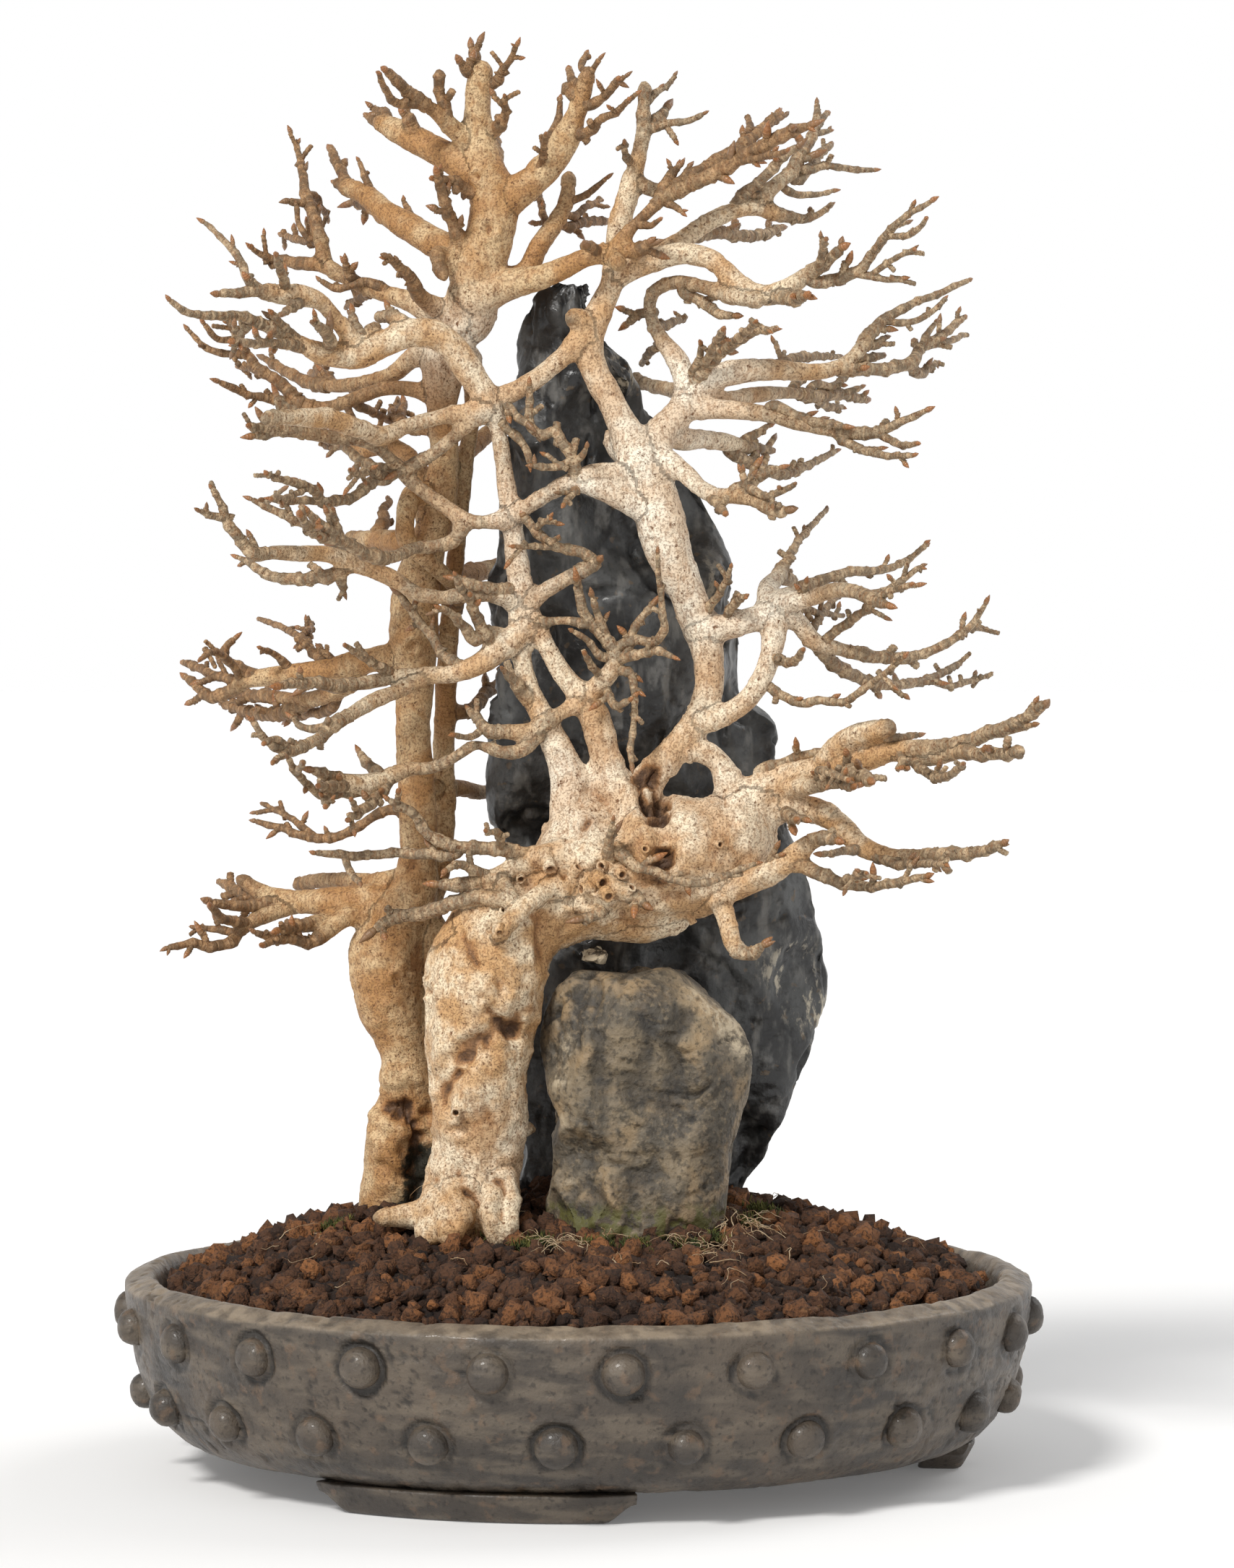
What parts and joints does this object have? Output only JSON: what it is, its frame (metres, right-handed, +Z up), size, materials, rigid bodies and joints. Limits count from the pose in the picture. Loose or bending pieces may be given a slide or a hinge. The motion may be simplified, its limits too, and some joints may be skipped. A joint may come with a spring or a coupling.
{
  "type": "bonsai tree in a pot",
  "caption": "Old leafless bonsai, its bare trunks grown against an upright dark rock, standing on a mound of lava grit in a round studded drum pot.",
  "frame": {"origin": "on the pot's turning axis, at the plane of its feet", "axes": "+Z up along the pot's axis and the height of the tree, front towards -Y, +X to the right seen from the front"},
  "size_m": [0.3176, 0.3168, 0.487],
  "materials": {
    "pot_clay": "unglazed, coarse, dark grey-brown with a paler rim",
    "lava_soil": "rusty brown lava grit with fine pale rootlets",
    "dark_rock": "charcoal, pitted, slightly glossy, with cream veins",
    "grey_rock": "grey-brown with tan patches and moss at its foot",
    "pale_rock": "pale cream chip",
    "left_bark": "orange-tan bark with fine dark speckles",
    "front_bark": "pale cream bark with fine dark speckles",
    "mesh_plastic_1": "dark green plastic screen",
    "clip_wire_1": "plain soft wire",
    "mesh_plastic_2": "dark green plastic screen",
    "clip_wire_2": "plain soft wire",
    "mesh_plastic_3": "dark green plastic screen",
    "clip_wire_3": "plain soft wire"
  },
  "bodies": {
    "root": {"pot": "pot_clay", "soil_bed": "lava_soil", "tall_rock": "dark_rock", "front_boulder": "grey_rock", "wedge_stone": "pale_rock", "left_tree": "left_bark", "front_tree": "front_bark", "drain_mesh_1": "mesh_plastic_1", "drain_mesh_2": "mesh_plastic_2", "drain_mesh_3": "mesh_plastic_3", "mesh_clip_1": "clip_wire_1", "mesh_clip_2": "clip_wire_2", "mesh_clip_3": "clip_wire_3"}
  },
  "joints": []
}
